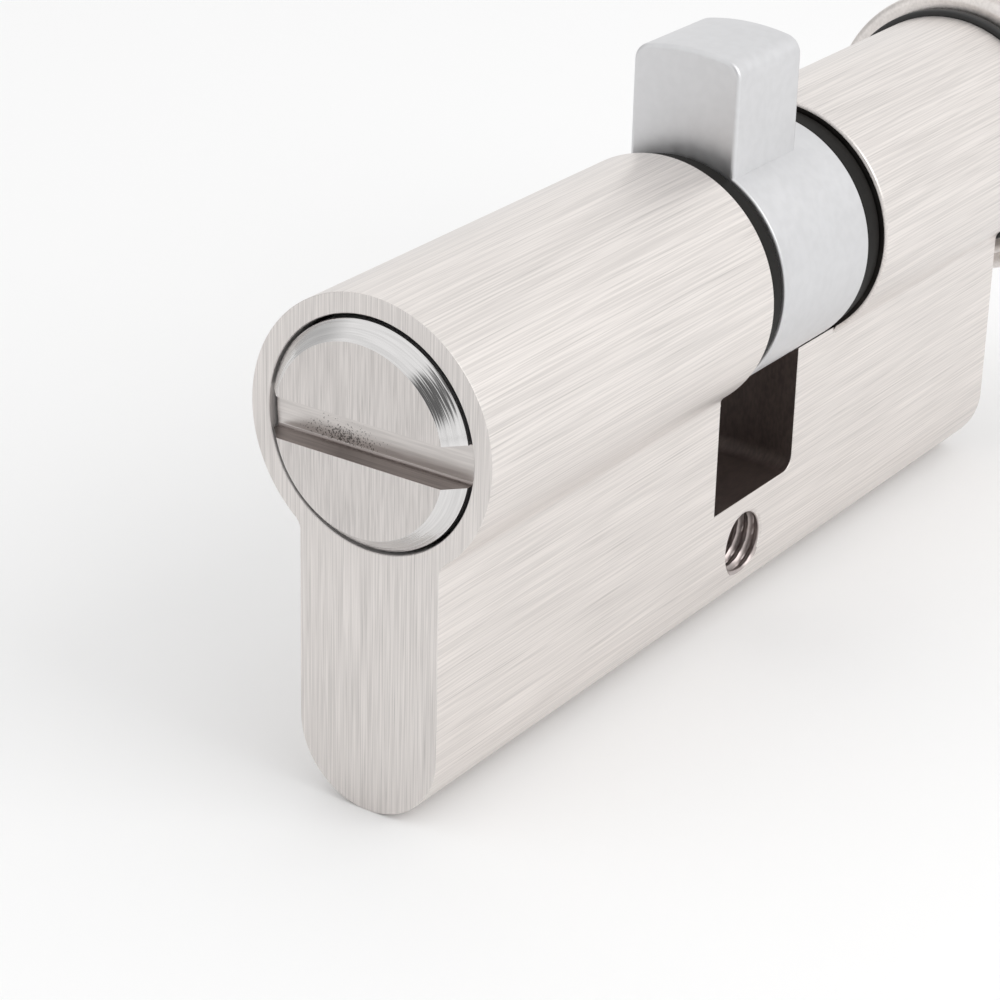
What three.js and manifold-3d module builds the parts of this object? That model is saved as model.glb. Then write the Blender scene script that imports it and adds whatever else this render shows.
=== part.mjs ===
// Bathroom euro cylinder: a coin slot on one end, a thumbturn on the other, a cam between them.
//
// Frame, in millimetres: X is the axis that the plug, cam and thumbturn turn about, with the
// coin slot at -X and the thumbturn at +X. Z is up, with the web of the profile hanging down.
// The origin is on that axis, in the plane of the fixing screw.

import * as THREE from "three";
import { mergeVertices } from "three/addons/utils/BufferGeometryUtils.js";
import Module from "manifold-3d";

const wasm = await Module();
wasm.setup();

// ---------------------------------------------------------------- body
const coinLength = 35; // fixing screw to the coin end face
const turnLength = 35; // fixing screw to the thumbturn end face
const roundRadius = 8.5; // round part of the profile
const profileHeight = 33; // top of the round part to the bottom of the web
const webWidth = 10;
const junctionRadius = 1.0; // fillet between the round part and the web
const screwDrop = 18.65; // fixing screw below the plug axis
const screwHoleRadius = 2.1; // M5 thread, drilled size
const screwMouthRadius = 2.4;
const screwMouthDepth = 0.3;

// ---------------------------------------------------------------- cam opening
const windowFrom = -4.1; // coin side wall of the window in the web
const windowWidth = 10;
const windowDrop = 15.3; // window floor below the plug axis
const windowCornerRadius = 1.0; // corner at the thumbturn side of the window floor

// ---------------------------------------------------------------- cam
const hubRadius = 8.15;
const hubWidth = 10.9;
const hubRunningGap = 0.1; // hub to the saddle that is cut in the web
const hubRecess = 1.9; // depth of the recess at each end of the hub
const bitThickness = 7.8;
const bitTipGap = 0.3; // tip of the bit to the window floor
const bitSideGap = 0.35; // bit to the thumbturn side wall of the window
const bitTipRounding = 1.2;

// ---------------------------------------------------------------- plug and spindle
const shankRadius = 6.5;
const shankRunningGap = 0.08;
const headShoulder = 0.5; // head beyond the shank
const headMouthGap = 0.23;
const headDepth = 2.6; // head below the end face of the body
const plugProud = 1.12; // coin plug's flat face above the end face of the body
const plugChamfer = 1.05; // head's rim to the edge of the plug's flat face, radially
const slotWidth = 2.6;
const slotDepth = 1.6;
const noseLength = 1.6; // reach of the plug and spindle into the cam's recesses
const noseGap = 0.1; // nose to the recess, radially

// ---------------------------------------------------------------- circlips and washers
const circlipSpace = 1.9; // between the body and the cam's hub, on each side
const circlipThickness = 1.6;
const circlipStep = 0.15; // circlip's rim inside the cam's hub
const grooveDepth = 0.9;
const circlipInnerGap = 0.08;
const circlipOpening = 50; // degrees
const washerThickness = 0.5;
const axialGap = 0.1; // between faces that slide on each other
const washerOuterGap = 0.12;

// ---------------------------------------------------------------- drive bar
const barWidth = 6;
const barThickness = 3;
const barReach = 8; // beyond each end of the hub
const barGap = 0.1;

// ---------------------------------------------------------------- thumbturn
const neckRadius = 4.5;
const neckLength = 14;
const neckFlatDepth = 0.5;
const neckFlatLength = 5;
const neckGap = 0.08;
const knobWasherThickness = 0.8;
const knobWasherRadius = 8.9;
const collarRadius = 10;
const collarLength = 7;
const collarChamfer = 0.6;
const gripLength = 16;
const gripHeight = 26;
const gripThickness = 10;
const gripBevel = 1.2;
const grubRadius = 1.95;
const grubGap = 0.1;
const grubLength = 5;
const grubSocket = 2; // across the flats
const grubSocketDepth = 2;
const neckEndChamfer = 0.5;

// ---------------------------------------------------------------- click stops
const stopsPerHalf = 2;
const ballRadius = 1.3;
const ballLandGap = 0.05; // ball to the shank while it rides between dimples, as it is drawn
const ballTravel = 0.35; // from there up into a dimple
const dimpleGap = 0.08;
const chamberGap = 0.12; // ball to the chamber that it slides in
const capLength = 3;
const capGap = 0.04;
const capSink = 0.3; // cap below the bottom of the web
const springWire = 0.2; // radius of the wire
const springTurns = 7;
const springWallGap = 0.12;

const roundSegments = 48;

// ---------------------------------------------------------------- worked out from the above
const webBottom = roundRadius - profileHeight;
const hubFrom = windowFrom + circlipSpace;
const hubTo = hubFrom + hubWidth;
const turnRoundFrom = hubTo + circlipSpace;
const boreRadius = shankRadius + shankRunningGap;
const headRadius = shankRadius + headShoulder;
const plugFaceRadius = headRadius - plugChamfer;
const mouthRadius = headRadius + headMouthGap;
const seatDepth = headDepth + washerThickness + 2 * axialGap;
const recessRadius = shankRadius + noseGap;
const grooveRadius = shankRadius - grooveDepth;
const circlipRadius = hubRadius - circlipStep;
const filletY = webWidth / 2 + junctionRadius; // centre of the fillet beside the web
const filletZ = -Math.sqrt((roundRadius + junctionRadius) ** 2 - filletY ** 2);
const ballDrop = shankRadius + ballLandGap + ballRadius; // ball's centre below the plug axis
const dimpleDrop = ballDrop - ballTravel;
const chamberRadius = ballRadius + chamberGap;
const knobStart = knobWasherThickness + 2 * axialGap;
const grubAt = knobStart + collarLength / 2;

// ---------------------------------------------------------------- geometry helpers

// A manifold from any closed three.js geometry.
function solidOf(geometry) {
  const bare = geometry.index ? geometry.toNonIndexed() : geometry.clone();
  bare.deleteAttribute("normal");
  bare.deleteAttribute("uv");
  const merged = mergeVertices(bare, 1e-4);
  const points = merged.attributes.position.array;
  const corners = merged.index.array;
  const kept = [];
  let volume = 0;
  const a = new THREE.Vector3();
  const b = new THREE.Vector3();
  const c = new THREE.Vector3();
  for (let i = 0; i < corners.length; i += 3) {
    const [p, q, r] = [corners[i], corners[i + 1], corners[i + 2]];
    if (p === q || q === r || r === p) continue;
    kept.push([p, q, r]);
    a.fromArray(points, 3 * p);
    b.fromArray(points, 3 * q);
    c.fromArray(points, 3 * r);
    volume += a.dot(b.cross(c));
  }
  const triVerts = kept.flatMap(([p, q, r]) => (volume > 0 ? [p, q, r] : [p, r, q]));
  return new wasm.Manifold(new wasm.Mesh({
    numProp: 3,
    vertProperties: new Float32Array(points),
    triVerts: new Uint32Array(triVerts),
  }));
}

function geometryOf(solid) {
  const mesh = solid.getMesh();
  const geometry = new THREE.BufferGeometry();
  geometry.setAttribute("position", new THREE.BufferAttribute(mesh.vertProperties, 3));
  geometry.setIndex(new THREE.BufferAttribute(mesh.triVerts, 1));
  geometry.computeVertexNormals();
  return geometry;
}

// A round solid about X. Each point is [x, radius], and the profile closes on itself or the axis.
function turned(points, segments = roundSegments) {
  const profile = points.map(([x, radius]) => new THREE.Vector2(radius, x));
  const geometry = new THREE.LatheGeometry(profile, segments);
  geometry.rotateZ(-Math.PI / 2);
  return solidOf(geometry);
}

// A plain cylinder about X.
function rod(from, to, radius, segments = roundSegments) {
  return turned([[from, 0], [from, radius], [to, radius], [to, 0]], segments);
}

// A flat ring about X.
function ring(from, to, inner, outer) {
  return turned([[from, inner], [from, outer], [to, outer], [to, inner], [from, inner]]);
}

// A shape drawn in Y and Z, pulled along X.
function alongX(shape, from, to, curveSegments = 12) {
  const geometry = new THREE.ExtrudeGeometry(shape, {
    depth: to - from,
    bevelEnabled: false,
    curveSegments,
  });
  geometry.translate(0, 0, from);
  const turn = new THREE.Matrix4().makeBasis(
    new THREE.Vector3(0, 1, 0),
    new THREE.Vector3(0, 0, 1),
    new THREE.Vector3(1, 0, 0),
  );
  return solidOf(geometry.applyMatrix4(turn));
}

function box(xRange, yRange, zRange) {
  const sizes = [xRange, yRange, zRange].map(([low, high]) => high - low);
  const centre = [xRange, yRange, zRange].map(([low, high]) => (low + high) / 2);
  return solidOf(new THREE.BoxGeometry(...sizes).translate(...centre));
}

// A cylinder that stands along Z at (x, y).
function post(x, y, zFrom, zTo, radius, segments) {
  const geometry = new THREE.CylinderGeometry(radius, radius, zTo - zFrom, segments);
  geometry.rotateX(Math.PI / 2);
  return solidOf(geometry.translate(x, y, (zFrom + zTo) / 2));
}

function ball(radius, segments, rings) {
  return new THREE.SphereGeometry(radius, segments, rings);
}

function piece(name, geometry, material) {
  const mesh = new THREE.Mesh(geometry, material);
  mesh.name = name;
  return mesh;
}

// ---------------------------------------------------------------- materials
function metal(color, roughness) {
  return new THREE.MeshStandardMaterial({ color, roughness, metalness: 1 });
}

const satinNickel = metal(0xcfc9c4, 0.38);
const camMetal = metal(0xc8c9cb, 0.5);
const blackSteel = metal(0x202020, 0.55);
const brightSteel = metal(0xd0d2d4, 0.2);
const springSteel = metal(0xb4b6b8, 0.3);
const brass = metal(0xc9a659, 0.35);
const darkSteel = metal(0x55575a, 0.4);
const blackAcetal = new THREE.MeshStandardMaterial({ color: 0x181818, roughness: 0.6 });

// ---------------------------------------------------------------- body

// The euro profile: a round top, a web with a round bottom, and a fillet on each side between them.
function euroProfile() {
  const halfWeb = webWidth / 2;
  const towardsAxis = Math.atan2(-filletZ, -filletY);
  const bottomZ = webBottom + halfWeb;
  const shape = new THREE.Shape();
  shape.moveTo(halfWeb, bottomZ);
  shape.lineTo(halfWeb, filletZ);
  shape.absarc(filletY, filletZ, junctionRadius, Math.PI, towardsAxis, true);
  shape.absarc(0, 0, roundRadius, towardsAxis - Math.PI, Math.PI * 2 - towardsAxis, false);
  shape.absarc(-filletY, filletZ, junctionRadius, Math.PI - towardsAxis, 0, true);
  shape.lineTo(-halfWeb, bottomZ);
  shape.absarc(0, bottomZ, halfWeb, Math.PI, Math.PI * 2, false);
  return shape;
}

// The window in the web that the cam's bit swings through.
function windowCut() {
  const to = windowFrom + windowWidth;
  const shape = new THREE.Shape();
  shape.moveTo(windowFrom, 0);
  shape.lineTo(windowFrom, -windowDrop);
  shape.lineTo(to - windowCornerRadius, -windowDrop);
  shape.absarc(
    to - windowCornerRadius,
    -windowDrop + windowCornerRadius,
    windowCornerRadius,
    -Math.PI / 2,
    0,
    false,
  );
  shape.lineTo(to, 0);
  const geometry = new THREE.ExtrudeGeometry(shape, {
    depth: 2 * webWidth,
    bevelEnabled: false,
    curveSegments: 5,
  });
  geometry.translate(0, 0, -webWidth).rotateX(Math.PI / 2);
  return solidOf(geometry);
}

// The fixing screw's hole, across the web, with a small countersink at each mouth.
function screwCut() {
  const half = webWidth / 2;
  const beyond = half + 1;
  const profile = [
    [-beyond, 0],
    [-beyond, screwMouthRadius],
    [-half, screwMouthRadius],
    [-half + screwMouthDepth, screwHoleRadius],
    [half - screwMouthDepth, screwHoleRadius],
    [half, screwMouthRadius],
    [beyond, screwMouthRadius],
    [beyond, 0],
  ].map(([y, radius]) => new THREE.Vector2(radius, y));
  return solidOf(new THREE.LatheGeometry(profile, 32).translate(0, 0, -screwDrop));
}

// Where the click stops stand, evenly spread between a half's inner end and its head seat.
function stopPlaces(innerEnd, outerEnd) {
  const seat = outerEnd - Math.sign(outerEnd) * seatDepth;
  const places = [];
  for (let i = 1; i <= stopsPerHalf; i += 1) {
    places.push(innerEnd + ((seat - innerEnd) * i) / (stopsPerHalf + 1));
  }
  return places;
}

const coinStops = stopPlaces(windowFrom, -coinLength);
const turnStops = stopPlaces(turnRoundFrom, turnLength);

// The space for the cam and circlips. It takes away the whole round part and leaves the web, with a
// saddle in its top that clears the hub.
function camSpaceCut() {
  const span = [windowFrom, turnRoundFrom];
  const half = webWidth / 2;
  const saddleRadius = hubRadius + hubRunningGap;
  const beyond = Math.max(roundRadius, saddleRadius) + 1;
  const webTop = -Math.sqrt(saddleRadius ** 2 - half ** 2);
  return rod(...span, saddleRadius, 64)
    .add(box(span, [-beyond, beyond], [webTop, beyond]))
    .add(box(span, [-beyond, -half], [filletZ, beyond]))
    .add(box(span, [half, beyond], [filletZ, beyond]));
}

function makeBody() {
  let solid = alongX(euroProfile(), -coinLength, turnLength);
  const cuts = [
    camSpaceCut(),
    windowCut(),
    screwCut(),
    rod(-coinLength - 1, turnLength + 1, boreRadius),
    rod(-coinLength - 1, -coinLength + seatDepth, mouthRadius),
    rod(turnLength - seatDepth, turnLength + 1, mouthRadius),
  ];
  for (const x of [...coinStops, ...turnStops]) {
    cuts.push(post(x, 0, webBottom - 1, -shankRadius + 1, chamberRadius, 20));
  }
  for (const cut of cuts) solid = solid.subtract(cut);
  return piece("body", geometryOf(solid), satinNickel);
}

// ---------------------------------------------------------------- plug and spindle
// Both are drawn from the end of the cam's hub, x = 0, with x growing towards the body's end face.

// The outline that they share, from the nose in the cam's recess to the rim of the head.
function barrelOutline(endFace) {
  const grooveMiddle = circlipSpace / 2;
  const grooveHalf = circlipThickness / 2 + axialGap / 2;
  return [
    [-noseLength, 0],
    [-noseLength, shankRadius],
    [grooveMiddle - grooveHalf, shankRadius],
    [grooveMiddle - grooveHalf, grooveRadius],
    [grooveMiddle + grooveHalf, grooveRadius],
    [grooveMiddle + grooveHalf, shankRadius],
    [endFace - headDepth, shankRadius],
    [endFace - headDepth, headRadius],
    [endFace, headRadius],
  ];
}

// The socket for the drive bar, and four dimples round the shank for each click stop's ball.
function barrelCuts(stops) {
  const halfWidth = barWidth / 2 + barGap;
  const halfThickness = barThickness / 2 + barGap;
  const socketEnd = barReach + barGap;
  const cuts = [
    box([-noseLength - 1, socketEnd], [-halfThickness, halfThickness], [-halfWidth, halfWidth]),
  ];
  for (const x of stops) {
    for (let quarter = 0; quarter < 4; quarter += 1) {
      const angle = (quarter * Math.PI) / 2;
      const dimple = ball(ballRadius + dimpleGap, 16, 10);
      dimple.translate(x, dimpleDrop * Math.sin(angle), -dimpleDrop * Math.cos(angle));
      cuts.push(solidOf(dimple));
    }
  }
  return cuts;
}

function makeCoinPlug() {
  const endFace = coinLength + hubFrom;
  const outline = [
    ...barrelOutline(endFace),
    [endFace + plugProud, plugFaceRadius],
    [endFace + plugProud, 0],
  ];
  let solid = turned(outline, 64);
  for (const cut of barrelCuts(coinStops.map((x) => hubFrom - x))) solid = solid.subtract(cut);
  const slotFloor = endFace + plugProud - slotDepth;
  const slot = box(
    [slotFloor, endFace + plugProud + 1],
    [-headRadius - 1, headRadius + 1],
    [-slotWidth / 2, slotWidth / 2],
  );
  return piece("coin_plug", geometryOf(solid.subtract(slot)), satinNickel);
}

function makeSpindle() {
  const endFace = turnLength - hubTo;
  const neckEnd = endFace + neckLength;
  const outline = [
    ...barrelOutline(endFace),
    [endFace, neckRadius],
    [neckEnd - neckEndChamfer, neckRadius],
    [neckEnd, neckRadius - neckEndChamfer],
    [neckEnd, 0],
  ];
  let solid = turned(outline);
  for (const cut of barrelCuts(turnStops.map((x) => x - hubTo))) solid = solid.subtract(cut);
  const flatMiddle = endFace + grubAt;
  const flat = box(
    [flatMiddle - neckFlatLength / 2, flatMiddle + neckFlatLength / 2],
    [-neckRadius - 1, neckRadius + 1],
    [-neckRadius - 1, -neckRadius + neckFlatDepth],
  );
  return piece("thumbturn_spindle", geometryOf(solid.subtract(flat)), darkSteel);
}

// ---------------------------------------------------------------- circlips and washers

// An open ring in the groove of the plug or spindle, with its gap towards +Y.
function makeCirclip(name) {
  const half = THREE.MathUtils.degToRad(circlipOpening / 2);
  const shape = new THREE.Shape();
  shape.absarc(0, 0, circlipRadius, half, Math.PI * 2 - half, false);
  shape.absarc(0, 0, grooveRadius + circlipInnerGap, Math.PI * 2 - half, half, true);
  const from = (circlipSpace - circlipThickness) / 2;
  const solid = alongX(shape, from, from + circlipThickness, 36);
  return piece(name, geometryOf(solid), blackSteel);
}

// The bearing washer under the head of the plug or spindle.
function makeHeadWasher(name, endFace) {
  const from = endFace - headDepth - axialGap - washerThickness;
  const inner = shankRadius + washerOuterGap;
  const solid = ring(from, from + washerThickness, inner, mouthRadius - washerOuterGap);
  return piece(name, geometryOf(solid), blackAcetal);
}

// ---------------------------------------------------------------- cam and drive bar

// The bit: two flat flanks and a tip rounded about the axis that the cam turns on. Its root goes
// down to that axis, inside the hub.
function bitShape() {
  const reach = windowDrop - bitTipGap;
  const half = bitThickness / 2;
  const shoulder = Math.sqrt((reach - bitTipRounding) ** 2 - (half - bitTipRounding) ** 2);
  const cornerAngle = Math.atan2(shoulder, half - bitTipRounding);
  const shape = new THREE.Shape();
  shape.moveTo(-half, 0);
  shape.lineTo(half, 0);
  shape.absarc(half - bitTipRounding, shoulder, bitTipRounding, 0, cornerAngle, false);
  shape.absarc(0, 0, reach, cornerAngle, Math.PI - cornerAngle, false);
  shape.absarc(
    bitTipRounding - half,
    shoulder,
    bitTipRounding,
    Math.PI - cornerAngle,
    Math.PI,
    false,
  );
  return shape;
}

function makeCam() {
  const bitTo = windowFrom + windowWidth - bitSideGap;
  let solid = rod(hubFrom, hubTo, hubRadius, 64).add(alongX(bitShape(), hubFrom, bitTo, 6));
  solid = solid.subtract(rod(hubFrom - 1, hubFrom + hubRecess, recessRadius));
  solid = solid.subtract(rod(hubTo - hubRecess, hubTo + 1, recessRadius));
  const halfWidth = barWidth / 2 + barGap;
  const halfThickness = barThickness / 2 + barGap;
  const driveHole = box(
    [hubFrom - 1, hubTo + 1],
    [-halfThickness, halfThickness],
    [-halfWidth, halfWidth],
  );
  return piece("cam", geometryOf(solid.subtract(driveHole)), camMetal);
}

function makeDriveBar() {
  const solid = box(
    [hubFrom - barReach, hubTo + barReach],
    [-barThickness / 2, barThickness / 2],
    [-barWidth / 2, barWidth / 2],
  );
  return piece("drive_bar", geometryOf(solid), brightSteel);
}

// ---------------------------------------------------------------- thumbturn
// The knob, its washer and its grub screw are drawn from the body's end face, x = 0.

function makeKnob() {
  const collarEnd = knobStart + collarLength;
  const collar = turned([
    [knobStart, 0],
    [knobStart, collarRadius - collarChamfer],
    [knobStart + collarChamfer, collarRadius],
    [collarEnd - collarChamfer, collarRadius],
    [collarEnd, collarRadius - collarChamfer],
    [collarEnd, 0],
  ]);
  const endRadius = gripThickness / 2;
  const inset = gripHeight / 2 - endRadius;
  const grip = new THREE.Shape();
  grip.absarc(0, inset, endRadius - gripBevel, 0, Math.PI, false);
  grip.absarc(0, -inset, endRadius - gripBevel, Math.PI, Math.PI * 2, false);
  const geometry = new THREE.ExtrudeGeometry(grip, {
    depth: gripLength - 2 * gripBevel,
    bevelEnabled: true,
    bevelThickness: gripBevel,
    bevelSize: gripBevel,
    bevelSegments: 3,
    curveSegments: 14,
  });
  geometry.translate(0, 0, gripBevel);
  geometry.applyMatrix4(new THREE.Matrix4().makeBasis(
    new THREE.Vector3(0, 1, 0),
    new THREE.Vector3(0, 0, 1),
    new THREE.Vector3(1, 0, 0),
  ));
  geometry.translate(collarEnd - gripBevel, 0, 0);
  let solid = collar.add(solidOf(geometry));
  solid = solid.subtract(rod(knobStart - 1, neckLength + axialGap, neckRadius + neckGap));
  solid = solid.subtract(post(grubAt, 0, -collarRadius - 1, 0, grubRadius + grubGap, 24));
  return piece("thumbturn_knob", geometryOf(solid), satinNickel);
}

function makeKnobWasher() {
  const from = axialGap;
  const inner = neckRadius + washerOuterGap;
  const solid = ring(from, from + knobWasherThickness, inner, knobWasherRadius);
  return piece("knob_washer", geometryOf(solid), blackAcetal);
}

// A grub screw that stands on the neck's flat from below, with a hexagon socket in its outer end.
function makeGrubScrew() {
  const top = -neckRadius + neckFlatDepth - axialGap;
  const bottom = top - grubLength;
  const screw = post(0, 0, bottom, top, grubRadius, 24);
  const socketRadius = grubSocket / Math.sqrt(3);
  const socket = post(0, 0, bottom - 1, bottom + grubSocketDepth, socketRadius, 6);
  const mesh = piece("knob_grub_screw", geometryOf(screw.subtract(socket)), darkSteel);
  mesh.position.x = grubAt;
  return mesh;
}

// ---------------------------------------------------------------- click stops
// Each is a steel ball that a spring lifts into a dimple of the plug or spindle, over a brass cap.

class Helix extends THREE.Curve {
  constructor(radius, from, to, turns) {
    super();
    Object.assign(this, { radius, from, to, turns });
  }

  getPoint(t, target = new THREE.Vector3()) {
    const angle = t * this.turns * Math.PI * 2;
    const z = THREE.MathUtils.lerp(this.from, this.to, t);
    return target.set(this.radius * Math.cos(angle), this.radius * Math.sin(angle), z);
  }
}

function wireSection(radius, sides) {
  const points = [];
  for (let i = 0; i < sides; i += 1) {
    const angle = (i * Math.PI * 2) / sides;
    points.push(new THREE.Vector2(radius * Math.cos(angle), radius * Math.sin(angle)));
  }
  return new THREE.Shape(points);
}

function makeStop(name, x) {
  const capTop = webBottom + capSink + capLength;
  const ballBottom = -ballDrop - ballRadius;
  const path = new Helix(
    chamberRadius - springWallGap - springWire,
    capTop + springWire + axialGap,
    ballBottom - springWire - axialGap,
    springTurns,
  );
  const wire = new THREE.ExtrudeGeometry(wireSection(springWire, 6), {
    steps: springTurns * 9,
    extrudePath: path,
  });
  const cap = post(0, 0, webBottom + capSink, capTop, chamberRadius - capGap, 20);
  const group = new THREE.Group();
  const steelBall = piece(`${name}_ball`, geometryOf(solidOf(ball(ballRadius, 14, 9))), brightSteel);
  steelBall.position.z = -ballDrop;
  group.add(
    steelBall,
    piece(`${name}_spring`, geometryOf(solidOf(wire)), springSteel),
    piece(`${name}_cap`, geometryOf(cap), brass),
  );
  group.position.x = x;
  return group;
}

// ---------------------------------------------------------------- assembly
const coinCirclip = makeCirclip("coin_circlip");
coinCirclip.rotation.x = Math.PI; // both openings face the same side of the cylinder

const coinSide = new THREE.Group();
coinSide.add(
  makeCoinPlug(),
  coinCirclip,
  makeHeadWasher("coin_head_washer", coinLength + hubFrom),
);
coinSide.position.x = hubFrom;
coinSide.rotation.z = Math.PI;

const turnSide = new THREE.Group();
turnSide.add(
  makeSpindle(),
  makeCirclip("thumbturn_circlip"),
  makeHeadWasher("thumbturn_head_washer", turnLength - hubTo),
);
turnSide.position.x = hubTo;

const thumbturn = new THREE.Group();
thumbturn.add(makeKnob(), makeKnobWasher(), makeGrubScrew());
thumbturn.position.x = turnLength;

const cylinder = new THREE.Group();
cylinder.add(makeBody(), makeCam(), makeDriveBar(), coinSide, turnSide, thumbturn);
coinStops.forEach((x, i) => cylinder.add(makeStop(`coin_stop_${i + 1}`, x)));
turnStops.forEach((x, i) => cylinder.add(makeStop(`thumbturn_stop_${i + 1}`, x)));

export default cylinder;
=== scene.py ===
"""Euro cylinder with a coin slot and a thumbturn: fine meshes, materials and a small studio.

Shapes are made in millimetres about the frame's own axes, X along the turning axis and Z up, and
are scaled to metres when a piece is finished. Places come from the boxes of the CAD nodes.
"""

import math

import bmesh
import bpy
from mathutils import Matrix, Vector


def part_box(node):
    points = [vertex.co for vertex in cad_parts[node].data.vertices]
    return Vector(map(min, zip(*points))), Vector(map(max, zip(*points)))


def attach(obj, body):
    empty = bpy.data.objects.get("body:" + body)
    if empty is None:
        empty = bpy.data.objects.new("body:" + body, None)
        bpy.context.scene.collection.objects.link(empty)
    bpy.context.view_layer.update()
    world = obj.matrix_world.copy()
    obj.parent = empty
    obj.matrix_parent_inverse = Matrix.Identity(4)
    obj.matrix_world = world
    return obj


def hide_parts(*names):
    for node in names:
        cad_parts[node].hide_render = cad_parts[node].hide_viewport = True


MM = 0.001

# Body, in millimetres
WEB_WIDTH = 10.0
FILLET = 1.0
OUTER_EDGE = 0.06  # rounding of the body's end faces
INNER_EDGE = 0.25  # rounding of the two round ends beside the cam
WINDOW_DROP = 15.3
WINDOW_EDGE = 0.07
WINDOW_CORNER = 1.0
WINDOW_NEAR_TOP = -0.05  # tops of the window's two sides, from the height of the fillet's centre
WINDOW_FAR_TOP = 1.2
WINDOW_OVERLAP = 0.5  # between the window's lower part and the part under the cam
SCREW_DROP = 18.65
THREAD_PITCH = 0.8
THREAD_INNER = 2.08
THREAD_OUTER = 2.4
THREAD_FLAT = 0.2  # share of half a pitch that is flat at the inner radius
THREAD_FLANK = 0.65  # share of half a pitch that slopes
THREAD_MOUTH = 0.12  # depth of the countersink at each end of the thread
BORE_GAP = 0.08
MOUTH_GAP = 0.23
MOUTH_EDGE = 0.05
HEAD_SEAT = 3.3  # depth of the seat for the head and its washer
CHAMBER_GAP = 0.04
SADDLE_GAP = 0.1

# Plug, spindle and cam, in millimetres
HEAD_STEP = 0.5
HEAD_DEPTH = 2.6
HEAD_CHAMFER = 1.05
HEAD_SEEN = 0.6  # how far into the body the plug keeps its outer finish
HEAD_EDGE = 0.08
FACE_EDGE = 0.05  # rounding between the plug's chamfer and its flat face
SHANK_EDGE = 0.15
GROOVE_DEPTH = 0.9
GROOVE_GAP = 0.05
SLOT_WIDTH = 2.6
SLOT_DEPTH = 1.6
SLOT_CORNER = 0.22
BAR_GAP = 0.1
BAR_CORNER = 0.2
BAR_EDGE = 0.3
DIMPLE_RISE = 0.35
DIMPLE_GAP = 0.08
RECESS_DEPTH = 1.9
HUB_EDGE = 0.15
BIT_WIDTH = 7.8
BIT_LENGTH = 7.75
BIT_TIP = 1.2
BIT_EDGE = 0.3

# Circlips and washers, in millimetres and degrees
CLIP_OPENING = 50
CLIP_EDGE = 0.12
CLIP_GAP = 0.08  # between a circlip and the floor of its groove
WASHER_GAP = 0.12
WASHER_EDGE = 0.08
KNOB_WASHER_EDGE = 0.15

# Thumbturn, in millimetres
NECK_RADIUS = 4.5
NECK_EDGE = 0.5
NECK_FLAT = 0.5
NECK_FLAT_LENGTH = 5.0
NECK_GAP = 0.08
NECK_END_GAP = 0.1
COLLAR_LENGTH = 7.0
COLLAR_RADIUS = 10.0
COLLAR_INNER_EDGE = 0.6
COLLAR_OUTER_EDGE = 1.0
GRIP_THICKNESS = 10.0
GRIP_EDGE = 1.2
GRUB_GAP = 0.1
GRUB_PITCH = 0.7
GRUB_THREAD_DEPTH = 0.3
HEXAGON_RADIUS = 1.15
HEXAGON_DEPTH = 2

# Click stops, in millimetres
WIRE_RADIUS = 0.2
COILS = 7
CAP_EDGE = 0.15
CAP_HOLLOW = 0.12

# Camera and studio, in millimetres and degrees
CAMERA_PLACE = (-163.35, -96.24, 71.18)
CAMERA_AIM = (-35.0, -9.05, -1.40)
CAMERA_ROLL = 1.47
CAMERA_LENS = 111.67
CAMERA_SENSOR = 36
FLOOR_REACH = 2000
FLOOR_TONE = 0.93
LIGHT_PLACE = (30, -340, 270)
LIGHT_SIZE = 300
LIGHT_POWER = 0.5
DARK_PLACE = (14, 25, 0.15)  # angles where a darker patch of the room starts and ends, and its level
DIM_WALL = (15, 45, 0.60)
DIM_WALL_TOWARDS = (0.05, 1, 0.05)

# Meshes
AROUND = 192  # segments round a large turned surface
SMALL_AROUND = 64
THREAD_STEP = 0.05  # between two rings of a thread, in millimetres
PAST = 1  # how far a cutter runs on past the surface that it cuts, in millimetres
SLACK = 0.01  # for telling faces apart by their place, in millimetres
NEAR = 0.1  # how near an end or a floor a face has to be to belong to it, in millimetres
SLIVER = 0.0005  # points closer together than this, in millimetres, become one
SHARP_ANGLE = 32

# Which of its materials a face of the body or the plug takes
BODY_SIDE, BODY_END, BODY_THREAD, BODY_WINDOW, BODY_BORE, BODY_MOUTH = range(6)
PLUG_FACE, PLUG_CONE, PLUG_FLOOR, PLUG_WALL, PLUG_SHANK, PLUG_RIM = range(6)

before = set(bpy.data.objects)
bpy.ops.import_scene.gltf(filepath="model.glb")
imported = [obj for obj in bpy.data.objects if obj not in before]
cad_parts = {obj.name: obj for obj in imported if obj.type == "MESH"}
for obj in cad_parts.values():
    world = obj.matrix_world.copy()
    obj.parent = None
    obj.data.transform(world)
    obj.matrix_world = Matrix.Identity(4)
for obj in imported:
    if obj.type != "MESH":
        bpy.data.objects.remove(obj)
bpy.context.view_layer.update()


def span(node):
    """The lowest and highest corners of a CAD node, in millimetres."""
    low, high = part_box(node)
    return low / MM, high / MM


BODY_LOW, BODY_HIGH = span("body")
CAM_LOW, CAM_HIGH = span("cam")
PLUG_LOW, PLUG_HIGH = span("coin_plug")
CLIP_LOW, CLIP_HIGH = span("coin_circlip")
TURN_CLIP_LOW, TURN_CLIP_HIGH = span("thumbturn_circlip")

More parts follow.
